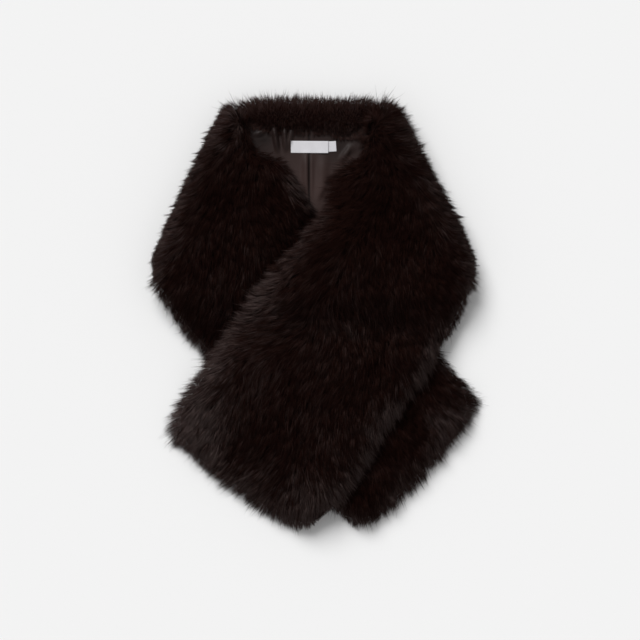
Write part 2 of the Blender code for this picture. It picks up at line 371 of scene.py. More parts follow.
# Tone runs across the hairs' own map, and root to tip up it.
hairLook = {
    "tones": (
        (0.0, (0.0078, 0.0021, 0.0012, 1.0)),
        (0.35, (0.0168, 0.0055, 0.0038, 1.0)),
        (0.7, (0.044, 0.026, 0.0232, 1.0)),
        (1.0, (0.085, 0.06, 0.056, 1.0)),
    ),
    "rootToTip": ((0.0, grey(0.25)), (0.5, grey(0.85)), (1.0, grey(1.25))),
    "roughness": 0.65,
    "specular": 0.035,
}


def hairMaterial():
    look = hairLook
    board = Board("hair")
    uv = board.node("ShaderNodeUVMap", {"uv_map": "OFBake"})
    tone = board.node("ShaderNodeSeparateXYZ", {}, {"Vector": uv})
    body = board.node("ShaderNodeValToRGB", {"stops": look["tones"]}, {"Fac": tone})
    shade = board.node("ShaderNodeValToRGB", {"stops": look["rootToTip"]}, {"Fac": tone.neighbour(1)})
    return board.finish(
        Base_Color=board.mix(1.0, body, shade, "MULTIPLY"),
        Roughness=look["roughness"],
        Specular_IOR_Level=look["specular"],
    )


underfurLook = {
    "dark": (0.003, 0.0012, 0.0009, 1.0),
    "pale": (0.0085, 0.0034, 0.0028, 1.0),
    "tufts": (420.0, 160.0, 300.0),  # per metre
    "tuftTurn": 0.5,
    "tuftHeight": 0.0015,
    "roughness": 0.85,
    "specular": 0.03,
}


def underfurMaterial():
    look = underfurLook
    board = Board("underfur")
    place = board.place(look["tufts"], (0.0, 0.0, look["tuftTurn"]))
    noise = {"Vector": place, "Scale": 1.0, "Detail": 4.0, "Roughness": 0.65}
    tufts = board.node("ShaderNodeTexNoise", {}, noise)
    relief = {"Height": tufts, "Strength": 0.9, "Distance": look["tuftHeight"]}
    return board.finish(
        Base_Color=board.mix(tufts, look["dark"], look["pale"]),
        Roughness=look["roughness"],
        Normal=board.node("ShaderNodeBump", {}, relief),
        Specular_IOR_Level=look["specular"],
    )


satinLook = {
    "dark": (0.0265, 0.0158, 0.0142, 1.0),
    "pale": (0.037, 0.023, 0.0208, 1.0),
    "threads": (1400.0, 5200.0, 1400.0),  # per metre
    "cloud": 26.0,
    # painted shade cast by the roll: darker towards it and paler further down; from where, how far, and what
    # is left of the colour
    "shadeStart": 0.02,
    "shadeReach": 0.06,
    "shade": ((0.0, grey(0.5)), (0.45, grey(0.98)), (1.0, grey(1.4))),
    # painted shade in the gathers, under the fur's edges and in the corners: places, radius and strength
    "paintedShade": (
        (-0.057, -0.034, 0.024, 0.7), (0.034, -0.038, 0.025, 0.74),
        (0.024, -0.052, 0.014, 0.15), (-0.0482, -0.0285, 0.009, 0.85),
    ),
    "paintedShadeColour": (0.009, 0.0054, 0.0048, 1.0),
    # painted shadow in the seam's groove: its width and colour
    "seamShadowWidth": 0.002,
    "seamShadowColour": (0.005, 0.0028, 0.0025, 1.0),
    "roughness": (0.4, 0.12),  # and what the threads add
    "relief": 0.0004,
    "specular": 0.12,
}


def satinMaterial():
    look = satinLook
    board = Board("liningSatin")
    threadPlace = board.place(look["threads"])
    threads = board.node("ShaderNodeTexNoise", {}, {"Vector": threadPlace, "Scale": 1.0, "Detail": 2.0})
    cloudPlace = {"Vector": board.place(), "Scale": look["cloud"], "Detail": 2.0}
    cloud = board.node("ShaderNodeTexNoise", {}, cloudPlace)
    colour = board.mix(cloud, look["dark"], look["pale"])
    axes = board.node("ShaderNodeSeparateXYZ", {}, {"Vector": board.place()})
    # painted shade: the satin is darker under the roll and paler further from it
    fromRoll = (axes.neighbour(1) * -1.0 + (neckY - look["shadeStart"])) * (1 / look["shadeReach"])
    shade = board.node("ShaderNodeValToRGB", {"stops": look["shade"]}, {"Fac": fromRoll})
    colour = board.mix(1.0, colour, shade, "MULTIPLY")
    # painted shade: darker patches where the gathers and the fur's edges shade the satin
    for x, y, radius, strength in look["paintedShade"]:
        ends = {0: board.place(), 1: (centreX + x, neckY + y, onBack)}
        away = board.node("ShaderNodeVectorMath", {"operation": "DISTANCE"}, ends, output="Value")
        share = (1.0 - away * (1 / radius)).clamped()
        colour = board.mix(share * strength, colour, look["paintedShadeColour"])
    # painted shadow: a dark line along the centre-back seam
    fromSeam = (axes - centreX).maths("ABSOLUTE")
    inSeamShadow = (1.0 - fromSeam * (1 / look["seamShadowWidth"])).clamped()
    relief = {"Height": threads + cloud * 3.0, "Strength": 0.25, "Distance": look["relief"]}
    smooth, rougher = look["roughness"]
    return board.finish(
        Base_Color=board.mix(inSeamShadow, colour, look["seamShadowColour"]),
        Roughness=(threads * rougher) + smooth,
        Normal=board.node("ShaderNodeBump", {}, relief),
        Specular_IOR_Level=look["specular"],
    )


ribbonLook = {
    "dark": (0.6, 0.59, 0.615, 1.0),
    "pale": (0.68, 0.67, 0.695, 1.0),
    "threads": (("X", 620.0), ("Y", 760.0)),
    "relief": 0.0002,
    "roughness": 0.62,
    "sheen": 0.1,
}


def ribbonMaterial():
    look = ribbonLook
    board = Board("wovenRibbon")
    across, along = (
        board.node("ShaderNodeTexWave", {"bands_direction": way}, {"Vector": board.place(), "Scale": scale})
        for way, scale in look["threads"]
    )
    weave = across * along
    relief = {"Height": weave, "Strength": 0.4, "Distance": look["relief"]}
    return board.finish(
        Base_Color=board.mix(weave, look["dark"], look["pale"]),
        Roughness=look["roughness"],
        Normal=board.node("ShaderNodeBump", {}, relief),
        Sheen_Weight=look["sheen"],
    )


def floorMaterial(colour):
    return Board("paleFloor").finish(Base_Color=colour, Roughness=0.9, Specular_IOR_Level=0.1)


hair = hairMaterial()
under = underfurMaterial()
satin = satinMaterial()
ribbon = ribbonMaterial()
print("materials are made")


def deselect():
    bpy.ops.object.select_all(action="DESELECT")


def addGrid(name, columns, rows):
    deselect()
    bpy.ops.mesh.primitive_grid_add(x_subdivisions=columns, y_subdivisions=rows, size=2.0)
    piece = bpy.context.object
    piece.name = name
    piece.data.name = name
    return piece


def gridPlaces(piece):
    flat = np.empty(len(piece.data.vertices) * 3)
    piece.data.vertices.foreach_get("co", flat)
    flat = flat.reshape(-1, 3)
    return flat[:, 0], (flat[:, 1] + 1.0) / 2.0


def setPoints(piece, points):
    piece.data.vertices.foreach_set("co", np.ascontiguousarray(points, dtype=np.float64).ravel())
    piece.data.update()


# Closer together towards both edges, where the cloth turns over.
def edgeSpread(t):
    return (1.0 - np.cos(math.pi * t)) / 2.0


def addWall(piece, thickness, offset):
    wall = piece.modifiers.new("wall", "SOLIDIFY")
    wall.thickness = thickness
    wall.offset = offset
    bpy.ops.object.modifier_apply(modifier="wall")


def turnOutwards():
    bpy.ops.object.mode_set(mode="EDIT")
    bpy.ops.mesh.select_all(action="SELECT")
    bpy.ops.mesh.normals_make_consistent(inside=False)
    bpy.ops.object.mode_set(mode="OBJECT")


def dress(piece, material, sharpest=50):
    bpy.ops.object.shade_smooth_by_angle(angle=math.radians(sharpest))
    piece.data.materials.clear()
    piece.data.materials.append(material)
    return piece


# Two grids, the lining side and the pile side, joined along their edges.
def closedCloth(name, columns, rows, skin, material):
    sides = []
    for which in (0, 1):
        grid = addGrid(name if which else name + "Lining", columns, rows)
        s, t = gridPlaces(grid)
        setPoints(grid, skin(s, edgeSpread(t))[which])
        sides.append(grid)
    deselect()
    for side in sides:
        side.select_set(True)
    bpy.context.view_layer.objects.active = sides[1]
    bpy.ops.object.join()
    bpy.ops.object.mode_set(mode="EDIT")
    bpy.ops.mesh.select_mode(type="VERT")
    bpy.ops.mesh.select_all(action="SELECT")
    bpy.ops.mesh.remove_doubles(threshold=2e-5)
    bpy.ops.mesh.select_all(action="DESELECT")
    bpy.ops.mesh.select_non_manifold()
    bpy.ops.mesh.edge_face_add()
    bpy.ops.object.mode_set(mode="OBJECT")
    turnOutwards()
    return dress(sides[1], material, 55)


def frontUnderfur(front):
    def skin(s, t):
        return frontSkin(
            front, s, t, underfur["inset"], underfur["fill"], underfur["fillBelow"], underfur["liningLift"],
            underfur["leftNeck"] if front is leftFront else underfur["rightNeck"],
        )

    return skin


def backUnderfur(s, t):
    return backSkin(s, t, underfur["backInset"], underfur["fill"], underfur["fillBelow"])


furBack = closedCloth("furBack", 70, 40, backUnderfur, under)
furFrontLeft = closedCloth("furFrontLeft", 96, 36, frontUnderfur(leftFront), under)
furFrontRight = closedCloth("furFrontRight", 96, 36, frontUnderfur(rightFront), under)
print("fur cloth is laid")

# The long hairs. They lie along the nap, and turn outwards at every edge.
pile = {
    "counts": {"back": 16000, "left": 50000, "right": 84000},
    "mostInPiece": 32000,
    "nearEdges": 0.35,  # share of the tries
    "underFold": 0.15,  # few hairs underneath a side fold
    "besideFold": 0.6,
    "hiddenFrom": 0.016,  # how far under the upper front they reach
    "length": 0.0212,
    "lengthSpread": 0.25,
    "shortest": 0.2,  # share of the length where the fur is trimmed
    "guardShare": 0.04,  # longer hairs
    "guardLength": 1.48,
    "guardRadius": 1.15,
    "lean": 68.0,  # degrees from upright
    "unevenLean": 5.0,
    "bend": 15.0,  # more lean towards the tip
    "sag": 0.1,
    "radius": 0.0002,  # where a hair is thickest
    "thickest": 0.42,  # of the way up
    "hairsInTuft": 14,
    "clump": 0.28,
    "tuftTurn": 0.13,
    "stray": 0.13,
    "partingTuftTurn": 1.1,  # where two ways of lying meet
    "partingStray": 0.6,
    "lowest": 0.0006,
    "highest": 0.061,
    "tone": 0.3,
    "drift": 0.1,
    "paleFrom": 0.27,  # from here on the hairs differ more
    "toneSteps": 48,
}
# Where the fur turns down at an edge. On the fronts it hangs over, between tufts that stand out, and on the
# roll all of it stands out.
rims = {
    "front": {"length": 0.365, "lean": 44.0, "drop": 0.8, "standing": 0.5, "grain": 1.0},
    "roll": {"length": 0.315, "lean": 22.0, "drop": 0.0, "standing": 0.0, "grain": 0.5},
    "share": 1.7,  # more hairs there
    # painted sheen: where the fur turns down, its hairs are paler
    "tone": 0.25,  # and paler ones
    "guards": 4.5,
    "clump": 0.7,
    "standingClump": 1.5,
    "standingLean": 14.0,
    "standingLonger": 0.26,
    "thinner": 0.3,
}
# How far in from each edge the hairs turn outwards, and how strongly.
turnOut = {"neck": 0.014, "outer": 0.014, "end": 0.02, "fold": 0.008, "pull": 0.8, "foldPull": 0.7}
# The neck opening: where it ends, and how much less the hairs of the left front turn outwards in it.
opening = {"depth": 0.115, "fade": 0.03, "less": 0.6, "darkRim": 0.03, "overNeck": 0.05}
# Painted sheen: how much paler the fur is towards each edge, where it turns from the view: reach in from it,
# tone, and the tone added further down, from where and over what length.
edgeSheen = {
    "left": {
        "opening": (0.015, 0.0, 0.6, 0.056, 0.016),
        "neck": (0.02, 0.0, 0.22, 0.22, 0.03),
        "outer": (0.02, 0.22, 0.22, 0.17, 0.03),
    },
    "right": {
        "opening": (0.015, 0.0, 0.0, 0.0, 1.0),
        "neck": (0.024, 0.24, 0.24, 0.14, 0.11),
        "outer": (0.026, 0.08, 0.46, 0.14, 0.07),
    },
    "end": (0.034, 0.38, 0.0, 0.0, 1.0),
    "fold": (0.02, 0.11, 0.08, 0.095, 0.04),
}
# How the fronts are combed: places in millimetres from the centre back and the neck edge, and the way that
# the hairs lie there.
combWidth = 0.028
combing = {
    "left": (
        (-106, -8, -0.9, 0.05), (-88, 11, -0.75, 0.55), (-98, -30, -0.65, -0.7), (-80, -12, -0.8, -0.5),
        (-64, 12, -0.7, 0.55), (-66, -16, -0.62, -0.65), (-134, -84, -0.55, -0.8), (-161, -159, -0.7, -0.7),
        (-91, -73, -0.1, -1.0), (-96, -149, -0.1, -1.0), (-129, -224, -0.45, -0.85), (-58, -30, 0.45, -0.85),
        (-26, -78, 0.65, -0.75), (-42, -138, 0.1, -1.0), (-75, -224, 0.0, -1.0), (141, -278, 0.35, -0.9),
        (168, -316, 0.6, -0.75), (120, -354, 0.25, -0.95), (66, -419, 0.1, -1.0),
    ),
    "right": (
        (107, -8, 0.9, 0.05), (90, 11, 0.75, 0.55), (100, -32, 0.6, -0.75), (80, -12, 0.75, -0.55),
        (64, 12, 0.72, 0.5), (64, -16, 0.6, -0.62), (147, -95, 0.6, -0.75), (172, -165, 0.7, -0.7),
        (158, -213, 0.5, -0.85), (131, -257, 0.3, -0.95), (55, -41, -0.8, -0.45), (23, -95, -0.8, -0.45),
        (-21, -165, -0.85, -0.45), (-64, -224, -0.85, -0.45), (-102, -278, -0.8, -0.5),
        (-134, -327, -0.75, -0.65),
        (-75, -386, -0.55, -0.83), (-10, -435, -0.15, -1.0), (98, -149, 0.05, -1.0), (55, -235, -0.05, -1.0),
        (1, -311, -0.15, -1.0), (77, -332, 0.1, -1.0), (44, -397, 0.05, -1.0), (-53, -311, -0.4, -0.9),
    ),
}
# Paler patches, and darker ones where the strength is negative: place and radius in millimetres, and
# strength.
palerAndShadowSpots = {
    "left": (
        (163, -316, 28, 0.28), (150, -262, 26, 0.18), (-150, -127, 40, 0.06), (-88, -24, 32, 0.16),
        (-80, 10, 30, 0.1), (-86, -16, 40, 0.06), (-168, -175, 40, 0.24), (-150, -219, 22, 0.36),
        (-26, -78, 14, 0.2), (-128, -240, 24, 0.2), (44, -435, 26, 0.4), (109, -392, 26, 0.16),
        # painted shadow below the right front's edge: the four entries with a negative strength, on this
        # line and the next
        (135, -322, 26, 0.22), (-85, -165, 85, 0.07), (128, -280, 20, -0.24), (101, -319, 24, -0.28),
        (74, -358, 24, -0.28), (46, -397, 22, -0.26), (146, -336, 36, 0.24), (131, -366, 26, 0.16),
    ),
    "right": (
        (-123, -332, 66, 0.6), (-128, -342, 48, 0.28), (-107, -305, 30, 0.2), (-120, -372, 30, 0.36),
        (-96, -284, 26, 0.16), (114, -24, 34, 0.3), (166, -180, 36, 0.16), (133, -245, 30, 0.2),
        (130, -220, 30, 0.1), (78, -324, 40, 0.2), (-20, -435, 24, 0.36), (42, -58, 16, 0.3),
        (30, -78, 16, 0.14), (-50, -396, 55, 0.2), (17, -354, 70, 0.08), (-85, -235, 40, 0.04),
        (-60, -252, 62, 0.12), (-70, -305, 60, 0.12), (-36, -206, 48, 0.22), (-120, -342, 50, 0.24),
        (-82, -392, 34, 0.34), (3, -408, 45, 0.36), (3, -415, 20, 0.16), (0, -285, 110, 0.05),
        (55, -215, 90, 0.08), (65, -100, 65, -0.06), (60, -56, 30, 0.06), (120, -270, 20, 0.16),
        (68, -365, 26, 0.16),
    ),
}
# Where the pile is fuller or shorter, in the same way, by a share of its length.
fuller = {
    "back": (
        (-74, 4, 28, 0.66), (74, 3, 28, 0.9), (-25, 10, 60, 0.38), (35, 12, 50, 0.18),
    ),
    "left": (
        (-84, 4, 20, 0.4), (-103, -4, 24, -0.25), (-170, -165, 60, -0.24), (-135, -238, 30, -0.2),
        (-150, -213, 30, -0.24), (-122, -258, 26, -0.3), (-126, -58, 36, 0.22), (180, -311, 22, 0.35),
        (163, -285, 24, -0.3), (176, -341, 24, -0.7), (158, -358, 28, -0.62), (137, -384, 26, -0.5),
        (167, -348, 22, -0.3), (82, -436, 28, -0.42), (44, -446, 30, -0.4), (28, -432, 24, -0.7),
        (60, -442, 20, -0.12), (172, -326, 18, -0.2), (-140, -84, 26, 0.26), (109, -414, 22, -0.3),
        (152, -268, 22, -0.35), (-122, -262, 22, -0.25),
    ),
    "right": (
        (87, 8, 26, 0.7), (104, -10, 30, 0.45), (128, -45, 35, 0.35), (178, -152, 36, -0.3),
        (146, -80, 45, 0.8), (158, -110, 35, 0.32), (162, -220, 46, -0.36), (150, -256, 26, -0.56),
        (141, -263, 20, -0.24), (140, -246, 18, -0.25), (177, -192, 26, -0.5), (-152, -334, 26, 0.42),
        (-132, -366, 24, -0.48), (-142, -314, 18, -0.25), (-118, -274, 24, -0.36), (-132, -300, 18, -0.22),
        (-112, -382, 35, -0.28), (-78, -410, 36, -0.16), (-50, -430, 26, -0.1), (-28, -438, 24, -0.35),
        (0, -446, 30, -0.4), (16, -432, 22, -0.5), (30, -438, 40, -0.6),
    ),
}
# Where the hairs stand closer.
closer = {
    "back": ((-72, 0, 24, 0.8), (75, -3, 24, 0.8)),
    "left": ((-78, -6, 26, 0.8),),
    "right": ((72, -6, 28, 1.3), (-118, -281, 20, 1.0)),
}


def turnedBy(vectors, angles):
    cosine, sine = np.cos(angles), np.sin(angles)
    x, y = vectors[:, 0], vectors[:, 1]
    return np.column_stack([x * cosine - y * sine, x * sine + y * cosine])


def swirl(points):
    x, y = points[:, 0], points[:, 1]
    slow = np.sin(x / 0.034 + 1.7 * np.sin(y / 0.047)) + np.sin(y / 0.029 + 1.4 * np.sin(x / 0.041))
    quick = np.sin(x / 0.0107 + 2.1 * np.sin(y / 0.0153)) + np.sin(y / 0.0091 + 1.9 * np.sin(x / 0.0127))
    return 0.16 * slow + 0.09 * quick


# Paler and darker drifts in the fur, a few centimetres across.
def drift(points):
    x, y = points[:, 0], points[:, 1]
    wide = np.sin(x / 0.017 + 2.3 * np.sin(y / 0.026)) * np.sin(y / 0.021 + 1.7 * np.sin(x / 0.023))
    fine = np.sin(x / 0.0061 + 1.8 * np.sin(y / 0.0087)) * np.sin(y / 0.0103 + 2.2 * np.sin(x / 0.0071))
    return 0.6 * wide + 0.4 * fine


def surfaceNormals(skin, s, t):
    step = 1e-4
    sNear, sFar = np.clip(s - step, -1.0, 1.0), np.clip(s + step, -1.0, 1.0)
    tNear, tFar = np.clip(t - step, 0.0, 1.0), np.clip(t + step, 0.0, 1.0)
    alongS = skin(sFar, t) - skin(sNear, t)
    alongT = skin(s, tFar) - skin(s, tNear)
    normal = np.cross(alongS, alongT)
    area = np.linalg.norm(normal, axis=1) / np.maximum((sFar - sNear) * (tFar - tNear), 1e-12)
    return unit(normal), area


# Picks roots so that each stretch of surface gets hairs by its area and by its wish.
def pickRoots(rng, skin, wish, count, facing):
    tries = count * 8
    s = rng.uniform(-1.0, 1.0, tries)
    t = rng.uniform(0.0, 1.0, tries)
    share = pile["nearEdges"]
    nearEdge = rng.random(tries) < share
    t = np.where(nearEdge, edgeSpread(t), t)
    guess = (1.0 - share) + share / (math.pi * np.sqrt(np.maximum(t * (1 - t), 1e-4)))
    normal, area = surfaceNormals(skin, s, t)
    normal = normal * facing
    points = skin(s, t)
    chance = area / guess * wish(s, t, points, normal)
    chosen = rng.choice(tries, size=count, replace=False, p=chance / chance.sum())
    chosen = chosen[np.argsort(s[chosen], kind="stable")]
    return s[chosen], t[chosen], points[chosen], normal[chosen]


# How far the fur has turned down towards an edge.
def rimOf(normals):
    return smoothStep((0.85 - normals[:, 2]) / 0.85)


# The number of the hair in the middle of each hair's tuft.
def tuftsOf(rng, roots):
    centres = rng.permutation(len(roots))[: max(1, len(roots) // pile["hairsInTuft"])]
    tree = KDTree(len(centres))
    for number, centre in enumerate(centres):
        tree.insert(Vector(roots[centre]), number)
    tree.balance()
    return centres[np.array([tree.find(Vector(root))[1] for root in roots])]


def growHairs(rng, roots, normals, lay, tone, longer, upright, rest, way):
    count = len(roots)
    middleOf = tuftsOf(rng, roots)

    def byHair(size):
        return rng.normal(0.0, size, count)

    def byTuft(size):
        return byHair(size)[middleOf]

    sureness = np.clip(np.linalg.norm(lay, axis=1), 0.0, 1.0)  # less at a parting
    turn = swirl(roots) + byTuft(pile["tuftTurn"]) + byHair(pile["stray"])
    turn = turn + (byTuft(pile["partingTuftTurn"]) + byHair(pile["partingStray"])) * (1.0 - sureness)
    rim = rimOf(normals)
    standing = rng.random(count)[middleOf] < way["standing"]
    drop = np.where(standing, 0.0, way["drop"]) * rim**2
    lay = np.column_stack([unit(turnedBy(lay, turn)), -pile["sag"] - drop])
    lay = unit(lay - normals * np.sum(lay * normals, axis=1)[:, None])
    lean = pile["lean"] + (np.where(standing, rims["standingLean"], way["lean"]) - pile["lean"]) * rim
    lean = lean * (0.65 + 0.35 * sureness) * (1.0 - upright)
    lean = np.radians(lean + byTuft(pile["unevenLean"]) + byHair(pile["unevenLean"]))
    bend = np.radians(pile["bend"] + byHair(pile["unevenLean"]))

    spread = rng.random(count)[middleOf] * (1.0 + 0.2 * rim) + rng.random(count) * (1.0 + 0.5 * rim)
    spread = spread - 1.0 - 0.35 * rim
    guard = rng.random(count) < pile["guardShare"] * (1.0 + rims["guards"] * rim)
    length = pile["length"] * (1.0 + pile["lengthSpread"] * spread)
    length = length * np.where(guard, pile["guardLength"], 1.0)
    length = length * np.where(standing, 1.0 + rims["standingLonger"] * rim, 1.0)
    length = length * (1.0 + (way["length"] - 1.0) * rim) * (0.75 + 0.25 * sureness)
    length = length * np.maximum(longer, pile["shortest"])

    def reach(angle):
        return normals * np.cos(angle)[:, None] + lay * np.sin(angle)[:, None]

    middle = roots + reach(lean) * (length * pile["thickest"])[:, None]
    tip = middle + reach(lean + bend) * (length * (1.0 - pile["thickest"]))[:, None]
    clump = pile["clump"] * way["grain"] * (0.4 + 0.9 * rng.random(count))
    clump = (clump * (1.0 + np.where(standing, rims["standingClump"], rims["clump"]) * rim))[:, None]
    tip = tip + (tip[middleOf] - tip) * clump
    middle = middle + (middle[middleOf] - middle) * clump * 0.4
    middle[:, 2] = np.maximum(middle[:, 2], rest(middle) + pile["lowest"] * 1.6)
    tip[:, 2] = np.clip(tip[:, 2], rest(tip) + pile["lowest"], pile["highest"])

    pale = np.maximum(tone - pile["paleFrom"], 0.0)
    tones = byTuft(1.0) * (0.05 + 0.3 * pale) + byHair(1.0) * (0.08 + 0.45 * pale)
    tones = tone + way["grain"] * (pile["drift"] * drift(roots) + tones)
    radius = pile["radius"] * np.where(guard, pile["guardRadius"], 1.0) * (1.0 - rims["thinner"] * rim)
    tones = np.clip(tones, 0.0, 0.999)
    return {"root": roots, "middle": middle, "tip": tip, "radius": radius, "tone": tones}


# Five points a hair: its root, a ring of three where it is thickest, and its tip. Then its six faces, and
# where their corners lie on its map.
oneHair = {
    "points": 5,
    "faces": (0, 2, 1, 0, 3, 2, 0, 1, 3, 1, 2, 4, 2, 3, 4, 3, 1, 4),
    "up": (0.02, 0.5, 0.5) * 3 + (0.5, 0.5, 0.98) * 3,
    "around": (0.5, 1.0, 0.0) * 3 + (0.0, 1.0, 0.5) * 3,
    "aside": (0.31, 0.17, 0.93),
    "lowest": 0.0002,
}


def hairPiece(name, hairs, material):
    count = len(hairs["root"])
    faceCount = count * len(oneHair["faces"]) // 3
    run = unit(hairs["tip"] - hairs["root"])
    aside = unit(np.cross(run, np.array(oneHair["aside"])))
    other = np.cross(run, aside)
    points = np.empty((count, oneHair["points"], 3))
    points[:, 0] = hairs["root"]
    for corner in range(3):
        angle = 2 * math.pi * corner / 3
        ring = math.cos(angle) * aside + math.sin(angle) * other
        points[:, 1 + corner] = hairs["middle"] + ring * hairs["radius"][:, None]
    points[:, 4] = hairs["tip"]
    points[:, :, 2] = np.maximum(points[:, :, 2], oneHair["lowest"])
    loops = (np.arange(count)[:, None] * oneHair["points"] + np.array(oneHair["faces"])[None, :]).ravel()

    deselect()
    bpy.ops.mesh.primitive_cone_add(vertices=3, radius1=0.001, depth=0.01)
    piece = bpy.context.object
    piece.name = name
    mesh = piece.data
    mesh.name = name
    mesh.clear_geometry()
    mesh.vertices.add(count * oneHair["points"])
    mesh.vertices.foreach_set("co", points.ravel())
    mesh.loops.add(len(loops))
    mesh.loops.foreach_set("vertex_index", loops.astype(np.int32))
    mesh.polygons.add(faceCount)
    mesh.polygons.foreach_set("loop_start", (np.arange(faceCount) * 3).astype(np.int32))
    mesh.polygons.foreach_set("use_smooth", np.ones(faceCount, dtype=bool))
    mesh.update(calc_edges=True)

    step = np.floor(hairs["tone"] * pile["toneSteps"])
    around = np.array(oneHair["around"])[None, :]
    acrossMap = (step[:, None] + 0.1 + 0.8 * around) / pile["toneSteps"]
    upMap = np.broadcast_to(np.array(oneHair["up"]), acrossMap.shape)
    layer = mesh.uv_layers.new(name="OFBake")
    layer.data.foreach_set("uv", np.stack([acrossMap, upMap], axis=2).astype(np.float32).ravel())
    mesh.validate()
    mesh.materials.clear()
    mesh.materials.append(material)
    return piece


def splitHairs(names, hairs):
    pieces = []
    count = len(hairs["root"])
    for number, name in enumerate(names):
        near, far = count * number // len(names), count * (number + 1) // len(names)
        if far - near > pile["mostInPiece"]:
            raise ValueError(name + " has too many hairs")
        pieces.append(hairPiece(name, {key: value[near:far] for key, value in hairs.items()}, hair))
    return pieces


# A place given in millimetres from the centre back and the neck edge.
def placeAt(x, y):
    return np.array([centreX + x / 1000, neckY + y / 1000])


def nearSpots(points, spots):
    total = np.zeros(len(points))
    for x, y, radius, strength in spots:
        away = np.linalg.norm(points[:, :2] - placeAt(x, y), axis=1)
        total += strength * fadeOut(away, radius / 1000)
    return total


# The way the hairs lie at each point, smoothly between the strokes of the comb.
def combed(points, strokes):
    places = np.array([placeAt(*stroke[:2]) for stroke in strokes])
    ways = np.array([stroke[2:] for stroke in strokes])
    away = np.linalg.norm(points[:, None, :2] - places[None, :, :], axis=2)
    weights = np.exp(-((away / combWidth) ** 2)) + 1e-5
    return weights @ ways / weights.sum(axis=1)[:, None]


def lowerDown(points, depth, length):
    return smoothStep((neckY - depth - points[:, 1]) / length)


def frontHairs(rng, front, side):
    def skin(s, t):
        return frontUnderfur(front)(s, t)[1]

    def wish(s, t, points, normal):
        wanted = np.where(s < -0.86, pile["underFold"], np.where(s < -0.5, pile["besideFold"], 1.0))
        wanted = wanted * (1.0 + (rims["share"] - 1.0) * smoothStep((0.7 - normal[:, 2]) / 0.4))
        wanted = wanted * (1.0 + nearSpots(points, closer[side]))
        if front is leftFront:
            hidden = -outsideOf(rightFront, points[:, :2]) - pile["hiddenFrom"]
            wanted[(hidden > 0) & (s > 0)] = 0.0
        return wanted

    s, t, roots, normals = pickRoots(rng, skin, wish, pile["counts"][side], front["side"])
    edges = frontUnderfur(front)(s, t)[2]
    inOpening = smoothStep((roots[:, 1] - neckY + opening["depth"]) / opening["fade"])
    neckPull = 1.0 - opening["less"] * inOpening if front is leftFront else 1.0
    foldPull = np.where(s < 0, fadeOut(-0.5 - s, 2.0), fadeOut(edges["fold"], turnOut["fold"]))
    outward = (
        (fadeOut(edges["neck"], turnOut["neck"]) * neckPull)[:, None] * -front["across"]
        + fadeOut(edges["outer"], turnOut["outer"])[:, None] * front["across"]
        + fadeOut(edges["end"], turnOut["end"])[:, None] * front["along"]
        + foldPull[:, None] * front["outward"] * turnOut["foldPull"]
    )
    lay = combed(roots, combing[side]) + outward * turnOut["pull"]

    # painted sheen: the hairs are paler towards the edges, where the fur turns from the view
    def sheenPaleness(edge, row):
        reach, tone, more, depth, length = row
        return fadeOut(edges[edge], reach) * (tone + more * lowerDown(roots, depth, length))

    tones = edgeSheen[side]
    neckSheenTone = sheenPaleness("neck", tones["opening"]) * inOpening
    neckSheenTone = neckSheenTone + sheenPaleness("neck", tones["neck"]) * (1.0 - inOpening)
    edgeSheenTone = np.maximum(sheenPaleness("end", edgeSheen["end"]), neckSheenTone)
    edgeSheenTone = edgeSheenTone + sheenPaleness("outer", tones["outer"]) + sheenPaleness("fold", edgeSheen["fold"])
    # painted sheen on the rims, left out along the neck edge in the opening
    rimSheenTone = rims["tone"] * rimOf(normals) * (1.0 - inOpening * fadeOut(edges["neck"], opening["darkRim"]))
    tone = pile["tone"] + edgeSheenTone + rimSheenTone + nearSpots(roots, palerAndShadowSpots[side])
    overNeck = (s > 0) & (edges["neck"] < opening["overNeck"])

    def rest(points):
        plan = points[:, :2]
        level = overBack(plan)
        if front is rightFront:
            level = level + np.where(outsideOf(leftFront, plan) < 0, band["crossedPile"], 0.0)
        return np.where(overNeck, level, 0.0)

    longer = 1.0 + nearSpots(roots, fuller[side])
    return growHairs(rng, roots, normals, lay, tone, longer, 0.0, rest, rims["front"])


# The hairs of the roll, from under the neck edge over the top to the lining. Fewer grow on its rim, except
# where it bridges over to the shoulders, and they part behind it.
rollPile = {
    "from": -0.035,
    "over": 0.24,
    "rimShare": 0.35,
    "stop": 0.8,
    "partingStart": 0.014,
    "parting": 0.014,
    "partingSpread": 0.004,
    "tone": 0.39,
    # painted sheen along the roll's edge: the tone added there and how far in it reaches
    "edgeSheenTone": 0.22,
    "edgeReach": 0.026,
    "lowTone": 0.11,
    "asideFrom": 0.075,
    "asidePull": 1.4,
}


